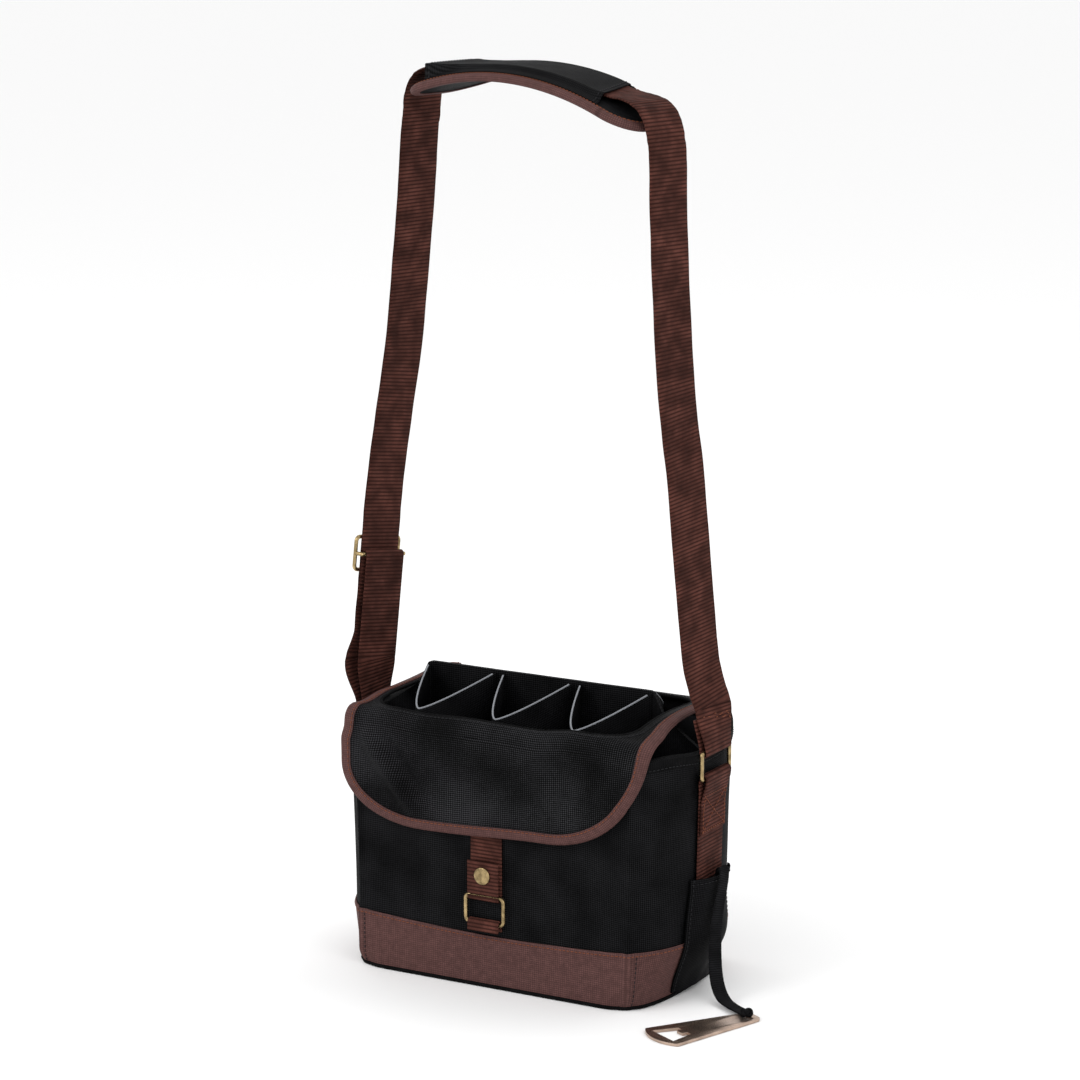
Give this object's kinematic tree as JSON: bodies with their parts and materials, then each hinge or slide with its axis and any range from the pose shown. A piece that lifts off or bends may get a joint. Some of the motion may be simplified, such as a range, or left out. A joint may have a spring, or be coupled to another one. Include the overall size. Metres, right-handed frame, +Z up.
{
  "type": "six-cell cooler tote",
  "caption": "Soft insulated tote with a pocketed cell divider, a windowed front flap with snap tab, a padded shoulder strap on metal rings and a bottle opener on a tape tether.",
  "frame": {"origin": "middle of the base's underside, level with what the bag stands on", "axes": "+X to the bag's right as seen from its front, +Y to its back, +Z up"},
  "size_m": [0.3476, 0.1912, 0.646],
  "materials": {
    "cloth": "black woven polyester with a slight sheen",
    "band": "mauve brown coated cloth, smooth and matt",
    "webbing": "red brown ribbed webbing",
    "brass": "antique brass, satin",
    "foam": "white closed-cell foam",
    "lining": "grey wipe-clean film",
    "board": "black stiffening board",
    "edging": "pale grey edging",
    "binding": "black binding tape",
    "grip": "black hook and loop tape",
    "tape": "black grosgrain tape"
  },
  "bodies": {
    "root": {"front_panel": "cloth", "back_panel": "cloth", "left_panel": "cloth", "right_panel": "cloth", "base_panel": "cloth", "base_board": "board", "base_piping": "binding", "base_band_front": "band", "base_band_back": "band", "base_band_left": "band", "base_band_right": "band", "foam_front": "foam", "foam_back": "foam", "foam_left": "foam", "foam_right": "foam", "foam_base": "foam", "lining": "lining", "mouth_binding": "binding", "cross_divider": "cloth", "pocket_wall_front_left": "cloth", "pocket_wall_front_middle": "cloth", "pocket_wall_front_right": "cloth", "pocket_wall_rear_left": "cloth", "pocket_wall_rear_middle": "cloth", "pocket_wall_rear_right": "cloth", "pocket_edging_front_left": "edging", "pocket_edging_front_middle": "edging", "pocket_edging_front_right": "edging", "pocket_edging_rear_left": "edging", "pocket_edging_rear_middle": "edging", "pocket_edging_rear_right": "edging", "lid_seam_strip": "cloth", "grip_strip_panel": "grip", "closure_strap": "webbing", "closure_ring": "brass", "ring_keeper": "webbing", "snap_stud": "brass", "side_anchor_left": "webbing", "side_anchor_right": "webbing", "side_ring_left": "brass", "side_ring_right": "brass", "opener_pocket": "cloth", "tether": "tape"},
    "lid": {"lid_flap": "cloth", "lid_binding": "band", "grip_strip_lid": "grip"},
    "tab": {"snap_tab": "webbing", "snap_cap": "brass"},
    "strap": {"strap_run": "webbing", "strap_end_left": "webbing", "strap_end_right": "webbing", "strap_return": "webbing"},
    "slider_body": {"slider": "brass"},
    "pad": {"shoulder_pad": "cloth", "pad_binding": "band", "pad_sleeve": "cloth"},
    "opener_body": {"opener": "brass"}
  },
  "joints": [
    {"name": "lid_hinge", "type": "hinge", "parent": "root", "child": "lid", "pos_m": [0, 0.0722, 0.1837], "axis": [-1, 0, 0], "range_deg": [0, 105]},
    {"name": "tab_hinge", "type": "hinge", "parent": "root", "child": "tab", "pos_m": [-0.003, -0.078, 0.069], "axis": [1, 0, 0], "range_deg": [0, 150]},
    {"name": "strap_swing", "type": "hinge", "parent": "root", "child": "strap", "pos_m": [0, 0, 0.19], "axis": [1, 0, 0], "range_deg": [-75, 60], "deforming": ["strap_end_left", "strap_end_right"]},
    {"name": "slider_slide", "type": "slide", "parent": "strap", "child": "slider_body", "axis": [-0.0207, -0.1403, -0.9899], "range_m": [0, 0.05], "deforming": ["strap_return"]},
    {"name": "pad_slide", "type": "hinge", "parent": "strap", "child": "pad", "pos_m": [-0.01106, 0.00276, 0.3657], "axis": [0.2419, 0.9703, 0], "range_deg": [-0.7, 0.7]},
    {"name": "opener_swing", "type": "hinge", "parent": "root", "child": "opener_body", "pos_m": [0.1885, -0.0435, 0], "axis": [0, 0, 1], "range_deg": [-8, 45]}
  ]
}
